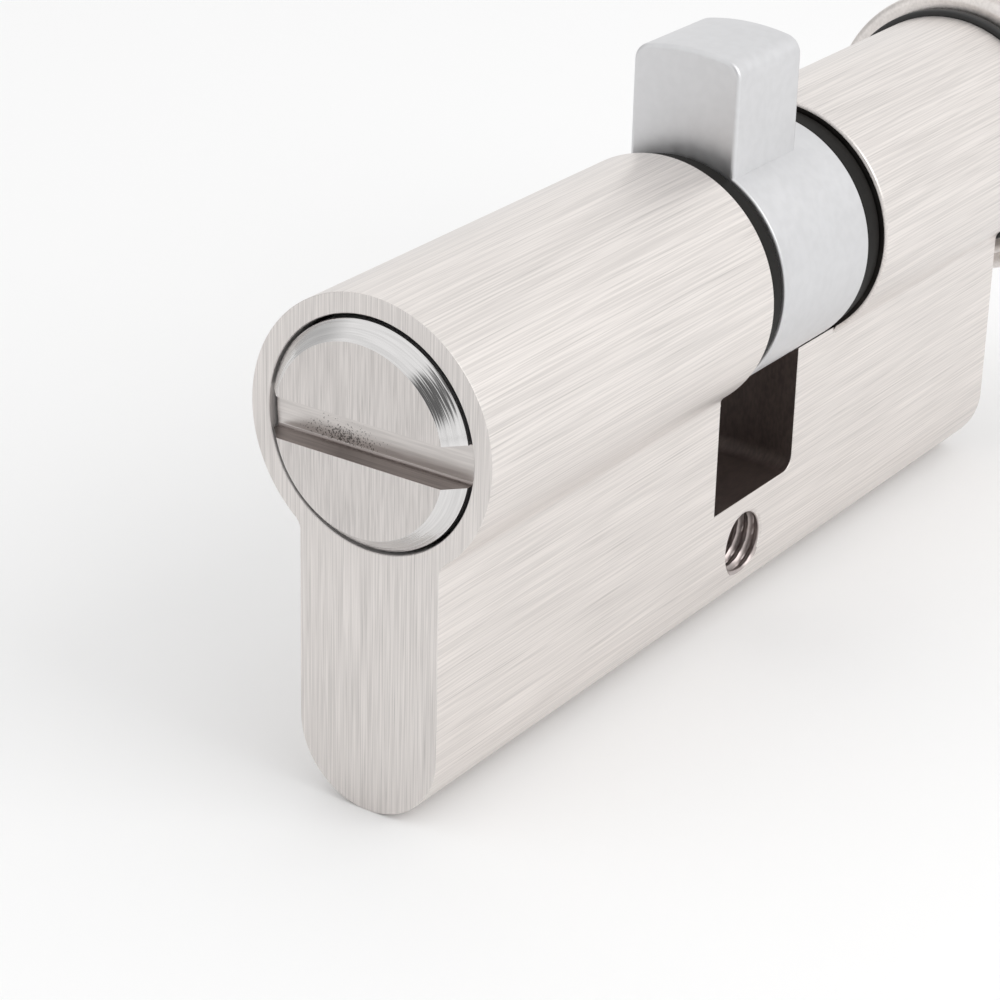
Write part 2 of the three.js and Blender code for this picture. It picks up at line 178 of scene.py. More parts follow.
ROUND = BODY_HIGH.z
HALF_WEB = WEB_WIDTH / 2
WEB_BOTTOM = BODY_LOW.z
HUB = CAM_HIGH.y
HEAD = PLUG_HIGH.z
SHANK = HEAD - HEAD_STEP
FILLET_Y = HALF_WEB + FILLET
FILLET_Z = -math.sqrt((ROUND + FILLET) ** 2 - FILLET_Y ** 2)
WEB_CENTRE = WEB_BOTTOM + HALF_WEB  # height of the centre of the web's round bottom
CLIP_SPACE = 2 * CAM_LOW.x - CLIP_LOW.x - CLIP_HIGH.x  # a circlip lies midway in it, beside the cam
COIN_ROUND_END = CAM_LOW.x - CLIP_SPACE
TURN_ROUND_END = CAM_HIGH.x + CLIP_SPACE
WINDOW = (COIN_ROUND_END, COIN_ROUND_END + WEB_WIDTH)
COIN_STOPS = ("coin_stop_1", "coin_stop_2")
TURN_STOPS = ("thumbturn_stop_1", "thumbturn_stop_2")


# ------------------------------------------------------------------ mesh helpers
def mesh_object(name, points, faces):
    """A mesh object, linked to the scene."""
    mesh = bpy.data.meshes.new(name)
    mesh.from_pydata([tuple(p) for p in points], [], faces)
    mesh.update()
    obj = bpy.data.objects.new(name, mesh)
    bpy.context.scene.collection.objects.link(obj)
    return obj


def boolean(obj, other, operation):
    """Joins or cuts obj with other, which is used up."""
    modifier = obj.modifiers.new("boolean", "BOOLEAN")
    modifier.operation = operation
    modifier.solver = "MANIFOLD"
    modifier.object = other
    graph = bpy.context.evaluated_depsgraph_get()
    mesh = bpy.data.meshes.new_from_object(obj.evaluated_get(graph))
    obj.modifiers.clear()
    obj.data = mesh
    bpy.data.objects.remove(other)
    return obj


def join(obj, *others):
    """Joins the others to obj."""
    for other in others:
        boolean(obj, other, "UNION")
    return obj


def cut(obj, *others):
    """Cuts the others out of obj."""
    for other in others:
        boolean(obj, other, "DIFFERENCE")
    return obj


def rounded(corners, closed=False, steps=4):
    """An outline of (a, b, radius) corners, each turned into an arc. Radius 0 keeps it sharp."""
    outline = []
    count = len(corners)
    for i, (a, b, radius) in enumerate(corners):
        corner = Vector((a, b))
        if radius == 0 or (not closed and i in (0, count - 1)):
            outline.append(corner)
            continue
        before = (Vector(corners[i - 1][:2]) - corner).normalized()
        after = (Vector(corners[(i + 1) % count][:2]) - corner).normalized()
        half = before.angle(after) / 2
        centre = corner + (before + after).normalized() * (radius / math.sin(half))
        start = corner + before * (radius / math.tan(half)) - centre
        end = corner + after * (radius / math.tan(half)) - centre
        turn = math.atan2(start.x * end.y - start.y * end.x, start.dot(end))
        for k in range(steps + 1):
            angle = turn * k / steps
            outline.append(centre + Matrix.Rotation(angle, 2) @ start)
    return outline


def arc(centre, radius, start, end, steps):
    """Points on a circle, with the angles in radians."""
    points = []
    for k in range(steps + 1):
        angle = start + (end - start) * k / steps
        points.append((centre[0] + radius * math.cos(angle), centre[1] + radius * math.sin(angle)))
    return points


def turned(name, outline, closed=False, segments=AROUND, upright=None):
    """A round solid from (place, radius) points, about X, or about Z at the point upright."""
    points = []
    rings = []
    for place, radius in outline:
        if radius < 1e-9:
            rings.append([len(points)] * segments)
            points.append((place, 0, 0))
            continue
        rings.append(list(range(len(points), len(points) + segments)))
        for k in range(segments):
            angle = 2 * math.pi * k / segments
            points.append((place, radius * math.cos(angle), radius * math.sin(angle)))
    pairs = list(zip(rings, rings[1:]))
    if closed:
        pairs.append((rings[-1], rings[0]))
    faces = []
    for ring, following in pairs:
        for k in range(segments):
            n = (k + 1) % segments
            face = [ring[k], ring[n], following[n], following[k]]
            faces.append(list(dict.fromkeys(face)))
    if upright is not None:
        points = [(upright[0] + y, upright[1] + z, place) for place, y, z in points]
    return outward(mesh_object(name, points, [f for f in faces if len(f) > 2]))


def loft(name, sections):
    """A solid through closed outlines of 3-D points that all have the same number of points."""
    count = len(sections[0])
    points = [p for section in sections for p in section]
    faces = [list(range(count)), list(range(len(points) - count, len(points)))[::-1]]
    for s in range(len(sections) - 1):
        for k in range(count):
            n = (k + 1) % count
            faces.append([s * count + n, s * count + k, (s + 1) * count + k, (s + 1) * count + n])
    return outward(mesh_object(name, points, faces))


def outward(obj):
    """Turns the faces of a closed mesh outwards."""
    volume = 0
    vertices = obj.data.vertices
    for face in obj.data.polygons:
        first = vertices[face.vertices[0]].co
        for a, b in zip(face.vertices[1:], face.vertices[2:]):
            volume += first.dot(vertices[a].co.cross(vertices[b].co))
    if volume < 0:
        obj.data.flip_normals()
    return obj


def ends(low, high, low_edge, high_edge, steps=4):
    """(place, inset) pairs that round both ends of a lofted solid."""
    stations = []
    for k in range(steps + 1 if low_edge else 1):
        angle = math.pi / 2 * k / steps if low_edge else math.pi / 2
        stations.append((low + low_edge * (1 - math.cos(angle)), low_edge * (1 - math.sin(angle))))
    for k in range(steps + 1 if high_edge else 1):
        angle = math.pi / 2 * k / steps if high_edge else 0
        stations.append((high - high_edge * (1 - math.sin(angle)), high_edge * (1 - math.cos(angle))))
    return stations


def along_x(name, outline_of, stations):
    """Lofts outline_of(inset), which gives (y, z) points, along X."""
    return loft(name, [[(x, y, z) for y, z in outline_of(inset)] for x, inset in stations])


def box(name, low, high):
    """A plain box between two corners, for cutting with."""
    corners = [(low[0], z) for z in (low[2], high[2])] + [(high[0], z) for z in (high[2], low[2])]
    return loft(name, [[(x, y, z) for x, z in corners] for y in (low[1], high[1])])


def thread(name, low, high, inner, outer, pitch, countersink, segments=72):
    """A rod about Y with a right-handed thread between the radii inner and outer.

    Used as a cutter, it widens to the outer radius over the last stretch before each flank of the
    web, which is as long as countersink says. At 0 there is none.
    """
    stations = round((high - low) / THREAD_STEP)
    sections = []
    for s in range(stations + 1):
        y = low + (high - low) * s / stations
        ring = []
        for k in range(segments):
            turn = (y / pitch + k / segments) % 1
            wave = 1 - abs(2 * turn - 1)
            height = min(max((wave - THREAD_FLAT) / THREAD_FLANK, 0), 1)
            radius = inner + (outer - inner) * height
            if countersink:
                radius = max(radius, outer - max(HALF_WEB - abs(y), 0) * (outer - inner) / countersink)
            angle = 2 * math.pi * k / segments
            ring.append((radius * math.cos(angle), y, radius * math.sin(angle)))
        sections.append(ring)
    return loft(name, sections)


def sphere(name, centre, radius, segments):
    """A ball, turned about X."""
    steps = segments // 2
    outline = arc((centre[0], 0), radius, math.pi, 0, steps)
    outline[0] = (centre[0] - radius, 0)
    outline[-1] = (centre[0] + radius, 0)
    obj = turned(name, outline, segments=segments)
    obj.data.transform(Matrix.Translation((0, centre[1], centre[2])))
    return obj


def clean(mesh):
    """Closes up the slivers that the booleans leave."""
    work = bmesh.new()
    work.from_mesh(mesh)
    bmesh.ops.remove_doubles(work, verts=work.verts, dist=SLIVER)
    bmesh.ops.dissolve_degenerate(work, edges=work.edges, dist=SLIVER)
    work.to_mesh(mesh)
    work.free()


def finish_piece(obj, node, body, materials, choose=None):
    """Scales a piece to metres, shades it, and lets it stand for its CAD node."""
    mesh = obj.data
    clean(mesh)
    mesh.materials.clear()
    for material in materials:
        mesh.materials.append(material)
    for face in mesh.polygons:
        face.material_index = choose(face.center, face.normal) if choose else 0
    mesh.transform(Matrix.Scale(MM, 4))
    mesh.shade_smooth()
    mesh.set_sharp_from_angle(angle=math.radians(SHARP_ANGLE))
    normals = obj.modifiers.new("normals", "WEIGHTED_NORMAL")
    normals.keep_sharp = True
    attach(obj, body)
    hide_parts(node)
    return obj


# ------------------------------------------------------------------ materials
def grained(name, base, roughness, grain, depth, stretch=4, metallic=1.0, bump=0.0, specular=0.5):
    """A streaked finish. grain is the noise's scale on X, Y and Z per millimetre.

    depth is how far the fine streaks, the broad ones and the hairlines change its tone, and stretch
    is how much wider the broad ones are. The hairlines only darken. bump is in millimetres.
    """
    material = bpy.data.materials.new(name)
    material.use_nodes = True
    nodes = material.node_tree.nodes
    links = material.node_tree.links
    shader = nodes["Principled BSDF"]
    shader.inputs["Metallic"].default_value = metallic
    shader.inputs["Specular IOR Level"].default_value = specular
    place = nodes.new("ShaderNodeTexCoord")
    layers = []
    for widen in (1.0, stretch, 0.7)[: len(depth)]:
        mapping = nodes.new("ShaderNodeMapping")
        mapping.inputs["Scale"].default_value = [g / widen / MM for g in grain]
        noise = nodes.new("ShaderNodeTexNoise")
        noise.inputs["Scale"].default_value = 1.0
        noise.inputs["Detail"].default_value = 1.0
        links.new(place.outputs["Object"], mapping.inputs["Vector"])
        links.new(mapping.outputs["Vector"], noise.inputs["Vector"])
        layers.append(noise.outputs["Fac"])
    previous = None
    # The noise values that a layer spreads its tones between, and how far it lightens
    levels = [(0.35, 0.65, 1.0), (0.3, 0.7, 1.0), (0.26, 0.40, 0.0)]
    for layer, share, (low, high, lift) in zip(layers, depth, levels):
        shade = nodes.new("ShaderNodeMapRange")
        shade.inputs["From Min"].default_value = low
        shade.inputs["From Max"].default_value = high
        shade.inputs["To Min"].default_value = 1 - share
        shade.inputs["To Max"].default_value = 1 + share * lift
        links.new(layer, shade.inputs["Value"])
        if previous is None:
            previous = shade.outputs["Result"]
            continue
        both = nodes.new("ShaderNodeMath")
        both.operation = "MULTIPLY"
        links.new(previous, both.inputs[0])
        links.new(shade.outputs["Result"], both.inputs[1])
        previous = both.outputs["Value"]
    tint = nodes.new("ShaderNodeVectorMath")
    tint.operation = "SCALE"
    tint.inputs[0].default_value = base
    links.new(previous, tint.inputs["Scale"])
    links.new(tint.outputs["Vector"], shader.inputs["Base Color"])
    rough = nodes.new("ShaderNodeMapRange")
    rough.inputs["To Min"].default_value = roughness * 0.85
    rough.inputs["To Max"].default_value = roughness * 1.15
    links.new(layers[0], rough.inputs["Value"])
    links.new(rough.outputs["Result"], shader.inputs["Roughness"])
    if bump:
        relief = nodes.new("ShaderNodeBump")
        relief.inputs["Strength"].default_value = 1.0
        relief.inputs["Distance"].default_value = bump * MM
        links.new(layers[0], relief.inputs["Height"])
        links.new(relief.outputs["Normal"], shader.inputs["Normal"])
    return material


def speckle(material, centre, reach, density, thinning=0.18):
    """Adds dark specks, densest at centre and gone at about reach, both in millimetres.

    density is the noise's scale per millimetre, and thinning is how fast the specks die out.
    """
    nodes = material.node_tree.nodes
    links = material.node_tree.links
    target = nodes["Principled BSDF"].inputs["Base Color"]
    unspecked = target.links[0].from_socket
    place = nodes.new("ShaderNodeTexCoord")
    mapping = nodes.new("ShaderNodeMapping")
    mapping.inputs["Location"].default_value = [-c / r for c, r in zip(centre, reach)]
    mapping.inputs["Scale"].default_value = [1 / r / MM for r in reach]
    links.new(place.outputs["Object"], mapping.inputs["Vector"])
    distance = nodes.new("ShaderNodeVectorMath")
    distance.operation = "LENGTH"
    links.new(mapping.outputs["Vector"], distance.inputs[0])
    noise = nodes.new("ShaderNodeTexNoise")
    noise.inputs["Scale"].default_value = density / MM
    noise.inputs["Detail"].default_value = 2.0
    links.new(place.outputs["Object"], noise.inputs["Vector"])
    thin = nodes.new("ShaderNodeMath")
    thin.operation = "MULTIPLY_ADD"
    thin.inputs[1].default_value = -thinning
    links.new(distance.outputs["Value"], thin.inputs[0])
    links.new(noise.outputs["Fac"], thin.inputs[2])
    spot = nodes.new("ShaderNodeMapRange")
    spot.inputs["From Min"].default_value = 0.45
    spot.inputs["From Max"].default_value = 0.50
    spot.inputs["To Min"].default_value = 1.0
    spot.inputs["To Max"].default_value = 0.30
    links.new(thin.outputs["Value"], spot.inputs["Value"])
    tint = nodes.new("ShaderNodeVectorMath")
    tint.operation = "SCALE"
    links.new(unspecked, tint.inputs[0])
    links.new(spot.outputs["Result"], tint.inputs["Scale"])
    links.new(tint.outputs["Vector"], target)


NICKEL = (0.755, 0.714, 0.686)
# The end faces' tone is the body's own nickel made darker: painted shade on the end faces.
FACE_NICKEL_PAINTED_SHADE = (0.695, 0.660, 0.638)
PLUG_NICKEL = (0.630, 0.597, 0.578)
BRUSHED = {"roughness": 0.36, "stretch": 5, "metallic": 0.75, "bump": 0.0012}
BRUSHED_LONG = grained(
    "brushed_long", NICKEL, grain=(0.10, 9, 9), depth=(0.09, 0.02, 0.16), **BRUSHED
)
# Brushed nickel for the end faces, darker than the sides: painted shade.
BRUSHED_FACE_PAINTED_SHADE = grained(
    "brushed_face_painted_shade", FACE_NICKEL_PAINTED_SHADE, grain=(1, 9, 0.14), depth=(0.10, 0.02, 0.18), **BRUSHED
)
BRUSHED_PLUG = grained(
    "brushed_plug", PLUG_NICKEL, grain=(1, 10, 0.3), depth=(0.10, 0.02, 0.18), **BRUSHED
)
TURNED_CONE = grained(
    "turned_cone", (0.70, 0.69, 0.685), 0.12, (12, 0.3, 0.3), (0.06, 0.03), stretch=3, bump=0.02
)
SLOT_FLOOR = grained(
    "slot_floor", (0.63, 0.597, 0.577), 0.3, (3, 0.3, 6), (0.08, 0.04), bump=0.001
)
speckle(SLOT_FLOOR, (PLUG_LOW.x + SLOT_DEPTH, 2.2, -0.8), reach=(9, 2.6, 0.9), density=9)
# The coin slot's walls, darker and browner than the plug: painted shade of the slot's depth.
SLOT_WALL_PAINTED_SHADE = grained("slot_wall_painted_shade", (0.36, 0.32, 0.305), 0.4, (7, 0.25, 5), (0.16, 0.05))
# The screw hole's thread, much darker than the body's nickel: painted shade inside the hole.
THREADS_PAINTED_SHADE = grained("threaded", (0.44, 0.39, 0.375), 0.3, (3, 3, 3), (0.05, 0.03))
# The window's walls, near black: painted shade inside the window.
WINDOW_WALL_PAINTED_SHADE = grained(
    "window_wall_painted_shade", (0.066, 0.047, 0.041), 0.55, (2, 5, 2), (0.15, 0.10), metallic=0.5, bump=0.002
)
# The bores' walls, near black: painted shade deep in the bores, also used on the plug head's rim.
BORE_WALL_PAINTED_SHADE = grained("bore_wall_painted_shade", (0.05, 0.045, 0.042), 0.5, (5, 0.6, 0.6), (0.15, 0.10))
MOUTH_WALL = grained(
    "mouth_wall", (0.72, 0.68, 0.66), 0.4, (4, 0.6, 0.6), (0.08, 0.05), metallic=0.2
)
CAM_METAL = grained(
    "cam_metal", (0.69, 0.69, 0.70), 0.45, (1.5, 1.5, 1.5), (0.02, 0.015), stretch=6, bump=0.002
)
KNOB_METAL = grained(
    "knob_metal", NICKEL, 0.34, (0.4, 5, 5), (0.05, 0.03), stretch=5, bump=0.001
)
BLACK_STEEL = grained(
    "black_steel", (0.013, 0.012, 0.011), 0.5, (4, 4, 4), (0.15, 0.10), metallic=0.0, specular=0.1
)
BRIGHT_STEEL = grained("bright_steel", (0.68, 0.69, 0.70), 0.15, (2, 2, 2), (0.03, 0.02))
SPRING_STEEL = grained("spring_steel", (0.55, 0.56, 0.57), 0.28, (3, 3, 0.5), (0.06, 0.03))
PLAIN_STEEL = grained(
    "plain_steel", (0.30, 0.31, 0.32), 0.32, (6, 0.5, 0.5), (0.08, 0.04), bump=0.001
)
BRASS = grained("brass", (0.60, 0.44, 0.20), 0.3, (4, 4, 0.6), (0.06, 0.04))
BLACK_ACETAL = grained(
    "black_acetal", (0.02, 0.02, 0.02), 0.5, (3, 3, 3), (0.12, 0.06), metallic=0.0
)


# ------------------------------------------------------------------ body
def euro_profile(inset, share):
    """The outline in Y and Z, drawn in by inset. The web takes only its share of the inset."""
    steps = 10
    towards = math.atan2(-FILLET_Z, -FILLET_Y)
    right = arc((0, WEB_CENTRE), HALF_WEB - inset * share, -math.pi / 2, 0, 32)
    for k in range(steps + 1):
        angle = math.pi + (towards - math.pi) * k / steps
        radius = FILLET + inset * (share + (1 - share) * k / steps)
        right.append((FILLET_Y + radius * math.cos(angle), FILLET_Z + radius * math.sin(angle)))
    start = math.atan2(FILLET_Z, FILLET_Y)
    top = arc((0, 0), ROUND - inset, start, math.pi - start, 176)[1:-1]
    left = [(-y, z) for y, z in right[:0:-1]]
    return right + top + left


def half_shell(name, low, high, low_edge, high_edge):
    """One half of the body. The web isn't rounded at the inner end, where it runs on."""
    sections = []
    for x, inset in ends(low, high, low_edge, high_edge):
        inner_end = BODY_LOW.x + OUTER_EDGE < x < BODY_HIGH.x - OUTER_EDGE
        sections.append([(x, y, z) for y, z in euro_profile(inset, 0 if inner_end else 1)])
    return loft(name, sections)


def web_profile(inset):
    """The web alone, with the saddle for the cam's hub in its top."""
    half = HALF_WEB - inset
    edge = math.acos(half / (HUB + SADDLE_GAP))
    saddle = arc((0, 0), HUB + SADDLE_GAP, -edge, edge - math.pi, 32)
    right = arc((0, WEB_CENTRE), half, -math.pi / 2, 0, 32)
    return [(-y, z) for y, z in right[:0:-1]] + right + saddle


def window_cutter():
    """The window, with its edges eased where it comes out of the web's flanks."""
    eased = ends(-HALF_WEB, HALF_WEB, WINDOW_EDGE, WINDOW_EDGE)
    outside = HALF_WEB + PAST
    sections = []
    for y, grow in [(-outside, WINDOW_EDGE), *eased, (outside, WINDOW_EDGE)]:
        corners = [
            (WINDOW[0] - grow, FILLET_Z + WINDOW_NEAR_TOP, 0),
            (WINDOW[0] - grow, -WINDOW_DROP - grow, 0),
            (WINDOW[1] + grow, -WINDOW_DROP - grow, WINDOW_CORNER),
            (WINDOW[1] + grow, FILLET_Z + WINDOW_FAR_TOP, 0),
        ]
        sections.append([(x, y, z) for x, z in rounded(corners, closed=True, steps=6)])
    top_low = (WINDOW[0], -ROUND, FILLET_Z - WINDOW_OVERLAP)
    return join(loft("window", sections), box("window_top", top_low, (WINDOW[1], ROUND, 0)))


def bore_cutter():
    """Both bores in one, each with the wider mouth that takes a head."""
    mouth = HEAD + MOUTH_GAP
    bore = SHANK + BORE_GAP
    outline = []
    for side in (-1, 1):
        end = BODY_LOW.x if side < 0 else BODY_HIGH.x
        seat = end - side * HEAD_SEAT
        start = end + side * PAST
        rim = mouth + MOUTH_EDGE
        half = [(start, 0), (start, rim), (end, rim)]
        half += [(end - side * MOUTH_EDGE, mouth), (seat, mouth), (seat, bore)]
        outline += half if side < 0 else half[::-1]
    return turned("bore", outline)


def stop_cutter(stop):
    """A click stop's chamber, drilled up from the bottom of the web into the bore."""
    low, high = span(stop + "_cap")
    centre = (low + high) / 2
    radius = (high.y - low.y) / 2 + CHAMBER_GAP
    bottom = WEB_BOTTOM - PAST
    top = -SHANK + PAST
    outline = [(bottom, 0), (bottom, radius), (top, radius), (top, 0)]
    return turned("chamber", outline, segments=SMALL_AROUND, upright=(centre.x, 0))


def body_surface(centre, normal):
    """Which material a face of the body takes."""
    x, y, z = centre
    # Faces that look along Y belong to the web's flanks, not to the hole that comes out there
    inside_web = abs(y) < HALF_WEB - SLACK and abs(normal.y) < 0.85
    if inside_web and math.hypot(x, z + SCREW_DROP) < THREAD_OUTER + 5 * SLACK:
        return BODY_THREAD
    if abs(normal.x) > 0.7 and not BODY_LOW.x + NEAR < x < BODY_HIGH.x - NEAR:
        return BODY_END
    in_window = WINDOW[0] - SLACK < x < WINDOW[1] + SLACK and -WINDOW_DROP - SLACK < z < 0
    if in_window and abs(y) < HALF_WEB - WINDOW_EDGE:
        return BODY_WINDOW
    if math.hypot(y, z) < HEAD + MOUTH_GAP + SLACK:
        in_mouth = not BODY_LOW.x + HEAD_SEAT - NEAR < x < BODY_HIGH.x - HEAD_SEAT + NEAR
        return BODY_MOUTH if in_mouth else BODY_BORE
    return BODY_SIDE


def make_body():
    """Two half shells on one web, with the window, the bores, the screw's hole and the chambers."""
    body = half_shell("body_shell", BODY_LOW.x, COIN_ROUND_END, OUTER_EDGE, INNER_EDGE)
    turn_half = half_shell("turn_half", TURN_ROUND_END, BODY_HIGH.x, INNER_EDGE, OUTER_EDGE)
    web = along_x("web", web_profile, [(COIN_ROUND_END, 0), (TURN_ROUND_END, 0)])
    join(body, turn_half, web)
    outside = HALF_WEB + PAST
    screw = thread(
        "screw", -outside, outside, THREAD_INNER, THREAD_OUTER, THREAD_PITCH, THREAD_MOUTH
    )
    screw.data.transform(Matrix.Translation((0, 0, -SCREW_DROP)))
    cut(body, window_cutter(), bore_cutter(), screw, *map(stop_cutter, COIN_STOPS + TURN_STOPS))
    # The end faces, the thread, the window and the bores take darker copies of the metal: painted
    # shade.
    surfaces = [BRUSHED_LONG, BRUSHED_FACE_PAINTED_SHADE, THREADS_PAINTED_SHADE, WINDOW_WALL_PAINTED_SHADE, BORE_WALL_PAINTED_SHADE, MOUTH_WALL]
    finish_piece(body, "body", "housing", surfaces, body_surface)


# ------------------------------------------------------------------ plug and spindle
def barrel_outline(nose, groove, end_face, side):
    """The (x, radius) outline from the nose to the rim of the head. side is where the head lies."""
    groove_radius = SHANK - GROOVE_DEPTH
    first, second = groove if side > 0 else groove[::-1]
    head = end_face - side * HEAD_DEPTH
    return [
        (nose, 0, 0),
        (nose, SHANK, SHANK_EDGE),
        (first - side * GROOVE_GAP, SHANK, 0),
        (first - side * GROOVE_GAP, groove_radius, 0),
        (second + side * GROOVE_GAP, groove_radius, 0),
        (second + side * GROOVE_GAP, SHANK, 0),
        (head, SHANK, 0),
        (head, HEAD, HEAD_EDGE),
        (end_face, HEAD, HEAD_EDGE),
    ]


def cut_barrel(barrel, stops):
    """The socket for the drive bar and the dimples for the click stops' balls."""
    bar_low, bar_high = span("drive_bar")
    gap = Vector((BAR_GAP, BAR_GAP, BAR_GAP))
    cut(barrel, box("socket", bar_low - gap, bar_high + gap))
    for stop in stops:
        low, high = span(stop + "_ball")
        centre = (low + high) / 2
        radius = (high.z - low.z) / 2
        reach = -centre.z - DIMPLE_RISE
        for quarter in range(4):
            angle = math.pi / 2 * quarter
            place = (centre.x, reach * math.sin(angle), -reach * math.cos(angle))
            cut(barrel, sphere("dimple", place, radius + DIMPLE_GAP, 32))


def plug_surface(centre, normal):
    """Which material a face of the plug takes."""
    x, y, z = centre
    if x > BODY_LOW.x + HEAD_SEEN:
        return PLUG_SHANK
    if math.hypot(y, z) > HEAD - 2 * SLACK:
        return PLUG_RIM
    in_slot = abs(z) < SLOT_WIDTH / 2 + 0.001 and x > PLUG_LOW.x + SLACK and abs(normal.y) < 0.1
    if in_slot and abs(normal.x) > 0.9 and x > PLUG_LOW.x + SLOT_DEPTH - NEAR:
        return PLUG_FLOOR
    if in_slot and abs(normal.z) > 0.3:
        return PLUG_WALL
    return PLUG_FACE if normal.x < -0.95 else PLUG_CONE


def make_plug():
    """The plug with its coin slot, chamfered and proud of the body."""
    outline = barrel_outline(PLUG_HIGH.x, (CLIP_LOW.x, CLIP_HIGH.x), BODY_LOW.x, -1)
    outline += [(PLUG_LOW.x, HEAD - HEAD_CHAMFER, FACE_EDGE), (PLUG_LOW.x, 0, 0)]
    plug = turned("coin_slot_plug", rounded(outline))
    cut_barrel(plug, COIN_STOPS)
    floor = PLUG_LOW.x + SLOT_DEPTH
    half = SLOT_WIDTH / 2
    corners = [
        (PLUG_LOW.x - PAST, -half, 0),
        (floor, -half, SLOT_CORNER),
        (floor, half, SLOT_CORNER),
        (PLUG_LOW.x - PAST, half, 0),
    ]
    section = rounded(corners, closed=True, steps=5)
    sides = (-HEAD - PAST, HEAD + PAST)
    cut(plug, loft("slot", [[(x, y, z) for x, z in section] for y in sides]))
    # The head's rim takes the near-black bore finish: painted shade in the gap round the head.
    surfaces = [BRUSHED_PLUG, TURNED_CONE, SLOT_FLOOR, SLOT_WALL_PAINTED_SHADE, PLAIN_STEEL, BORE_WALL_PAINTED_SHADE]
    finish_piece(plug, "coin_plug", "coin_plug", surfaces, plug_surface)


def make_spindle():
    """The thumbturn's spindle, with a flat on its neck for the grub screw."""
    low, high = span("thumbturn_spindle")
    grub_low, grub_high = span("knob_grub_screw")
    groove = (TURN_CLIP_LOW.x, TURN_CLIP_HIGH.x)
    outline = barrel_outline(low.x, groove, BODY_HIGH.x, 1)
    outline += [(BODY_HIGH.x, NECK_RADIUS, 0), (high.x, NECK_RADIUS, NECK_EDGE), (high.x, 0, 0)]
    spindle = turned("turn_spindle", rounded(outline))
    cut_barrel(spindle, TURN_STOPS)
    middle = (grub_low.x + grub_high.x) / 2
    flat_low = (middle - NECK_FLAT_LENGTH / 2, -NECK_RADIUS - PAST, -NECK_RADIUS - PAST)
    flat_high = (middle + NECK_FLAT_LENGTH / 2, NECK_RADIUS + PAST, -NECK_RADIUS + NECK_FLAT)
    cut(spindle, box("flat", flat_low, flat_high))
    finish_piece(spindle, "thumbturn_spindle", "thumbturn", [PLAIN_STEEL])


# ------------------------------------------------------------------ cam, clips and washers
def bit_outline(inset):
    """The cam's bit in Y and Z, with a round crown about the axis."""
    half = BIT_WIDTH / 2 - inset
    reach = CAM_HIGH.z - inset
    tip = BIT_TIP - inset
    shoulder = math.sqrt((reach - tip) ** 2 - (half - tip) ** 2)
    corner = math.atan2(shoulder, half - tip)
    right = [(half, 0)] + arc((half - tip, shoulder), tip, 0, corner, 8)
    crown = arc((0, 0), reach, corner, math.pi - corner, 24)[1:-1]
    return right + crown + [(-y, z) for y, z in right[::-1]]


def make_cam():
    """The hub and its bit, with a recess in each end and the hole for the drive bar."""
    corners = [
        (CAM_LOW.x, 0, 0),
        (CAM_LOW.x, HUB, HUB_EDGE),
        (CAM_HIGH.x, HUB, HUB_EDGE),
        (CAM_HIGH.x, 0, 0),
    ]
    cam = turned("cam_ring", rounded(corners))
    stations = ends(CAM_LOW.x, CAM_LOW.x + BIT_LENGTH, BIT_EDGE, BIT_EDGE)
    join(cam, along_x("bit", bit_outline, stations))
    recess = SHANK + BAR_GAP
    for end, side in ((CAM_LOW.x, -1), (CAM_HIGH.x, 1)):
        outer = end + side * PAST
        inner = end - side * RECESS_DEPTH
        cut(cam, turned("recess", [(outer, 0), (outer, recess), (inner, recess), (inner, 0)]))
    bar_low, bar_high = span("drive_bar")
    gap = Vector((0, BAR_GAP, BAR_GAP))
    cut(cam, box("drive_hole", bar_low - gap, bar_high + gap))
    finish_piece(cam, "cam", "cam", [CAM_METAL])


def make_circlip(node, name, body):
    """An open ring with rounded edges and its opening at +Y."""
    low, high = span(node)
    outer = high.z
    inner = SHANK - GROOVE_DEPTH + CLIP_GAP
    half = math.radians(CLIP_OPENING / 2)

    def outline_of(inset):
        ease = inset / outer
        outside = arc((0, 0), outer - inset, half + ease, 2 * math.pi - half - ease, 120)
        return outside + arc((0, 0), inner + inset, 2 * math.pi - half - ease, half + ease, 120)

    clip = along_x(name, outline_of, ends(low.x, high.x, CLIP_EDGE, CLIP_EDGE))
    finish_piece(clip, node, body, [BLACK_STEEL])


def make_ring(node, name, body, inner, edge):
    """A flat washer about X with eased edges."""
    low, high = span(node)
    places = ((low.x, inner), (low.x, high.z), (high.x, high.z), (high.x, inner))
    corners = [(x, radius, edge) for x, radius in places]
    washer = turned(name, rounded(corners, closed=True), closed=True)
    finish_piece(washer, node, body, [BLACK_ACETAL])


def make_drive_bar():
    """The flat bar that keys the plug, the cam and the spindle together."""
    low, high = span("drive_bar")

    def outline_of(inset):
        y = high.y - inset
        z = high.z - inset
        corners = [(a, b, BAR_CORNER) for a, b in ((-y, -z), (y, -z), (y, z), (-y, z))]
        return rounded(corners, closed=True)

    bar = along_x("flat_drive_bar", outline_of, ends(low.x, high.x, BAR_EDGE, BAR_EDGE))
    finish_piece(bar, "drive_bar", "thumbturn", [BRIGHT_STEEL])


